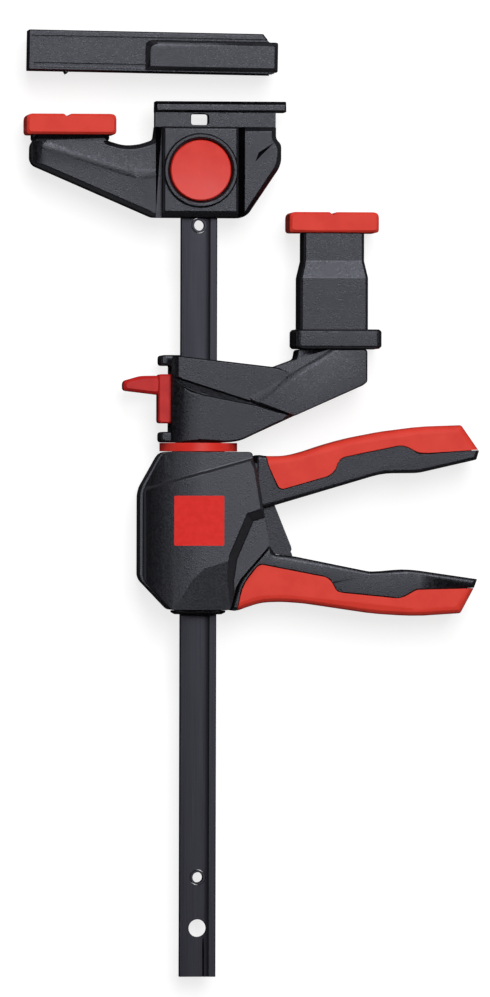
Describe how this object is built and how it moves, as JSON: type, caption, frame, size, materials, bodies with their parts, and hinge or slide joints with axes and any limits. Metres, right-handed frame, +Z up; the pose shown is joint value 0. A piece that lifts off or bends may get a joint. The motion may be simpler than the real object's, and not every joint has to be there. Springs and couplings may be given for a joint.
{
  "type": "bar clamp",
  "caption": "Bar clamp lying on its back: fixed jaw with push button, sliding jaw with post, swivelling housing with grip and pump lever, loose adapter bar above the fixed jaw.",
  "frame": {"origin": "middle of the underside of the bounding box, with the clamp lying on its back", "axes": "+Y along the bar from its free end to the fixed jaw, +X towards the handles, +Z up, out of the face with the push button"},
  "size_m": [0.2502, 0.5206, 0.044],
  "materials": {
    "charcoal_plastic": "fine moulded grain",
    "red_plastic": "satin",
    "red_soft": "satin, soft",
    "blackened_steel": "dark, drawn along its length",
    "dark_pin_steel": "dark",
    "bright_steel": "plain",
    "bearing_acetal": "turned"
  },
  "bodies": {
    "frame": {"bar": "blackened_steel", "upper_stop_pin": "dark_pin_steel", "lower_stop_pin": "dark_pin_steel", "fixed_jaw_body": "charcoal_plastic", "fixed_jaw_pad": "red_soft", "button_bezel": "charcoal_plastic", "button_spring": "bright_steel"},
    "button": {"release_button": "red_plastic", "lock_stirrup": "bright_steel"},
    "sliding_jaw": {"sliding_jaw_body": "charcoal_plastic", "jaw_post": "charcoal_plastic", "post_collar": "charcoal_plastic", "sliding_jaw_pad": "red_soft", "swivel_ring": "red_plastic", "swivel_core": "bearing_acetal", "brake_spring": "bright_steel"},
    "release": {"release_lever": "red_plastic", "brake_plate": "bright_steel"},
    "feeder": {"thrust_ring": "bright_steel", "feed_plate_1": "bright_steel", "feed_plate_2": "bright_steel", "feed_plate_3": "bright_steel"},
    "housing": {"front_shell": "charcoal_plastic", "back_shell": "charcoal_plastic", "upper_screw": "bright_steel", "lower_screw": "bright_steel", "right_screw": "bright_steel", "handle_frame": "charcoal_plastic", "handle_grip": "red_soft", "lower_bush": "charcoal_plastic", "lever_pivot_pin": "bright_steel", "feed_spring": "bright_steel"},
    "pump_lever": {"pump_lever_frame": "charcoal_plastic", "pump_lever_grip": "red_soft"},
    "adapter": {"adapter_bar": "charcoal_plastic"}
  },
  "joints": [
    {"name": "jaw_slide", "type": "slide", "parent": "frame", "child": "sliding_jaw", "axis": [0, 1, 0], "range_m": [-0.138, 0.066]},
    {"name": "housing_swivel", "type": "hinge", "parent": "sliding_jaw", "child": "housing", "pos_m": [-0.02909, -0.01527, 0.022], "axis": [0, 1, 0], "continuous": true},
    {"name": "pump_lever", "type": "hinge", "parent": "housing", "child": "pump_lever", "pos_m": [0.01391, -0.03077, 0.022], "axis": [0, 0, 1], "range_deg": [0, 18], "stiffness_Nm_per_rad": 1, "springref_deg": -8.59},
    {"name": "feed_slide", "type": "slide", "parent": "sliding_jaw", "child": "feeder", "axis": [0, 1, 0], "range_m": [-0.0096, 0], "deforming": ["feed_spring"]},
    {"name": "release_lever", "type": "hinge", "parent": "sliding_jaw", "child": "release", "pos_m": [-0.01249, 0.05773, 0.022], "axis": [0, 0, 1], "range_deg": [0, 5], "stiffness_Nm_per_rad": 2, "springref_deg": -5.73, "deforming": ["brake_spring"]},
    {"name": "release_button", "type": "slide", "parent": "frame", "child": "button", "axis": [0, 0, -1], "range_m": [0, 0.0034], "stiffness_N_per_m": 1500, "springref_m": -0.002, "deforming": ["button_spring"]},
    {"name": "adapter_lift", "type": "slide", "parent": "frame", "child": "adapter", "axis": [0, 1, 0], "range_m": [-0.0231, 0]}
  ],
  "couplings": [
    {"joint": "feed_slide", "follows": "pump_lever", "m_per_rad": -0.0302}
  ]
}
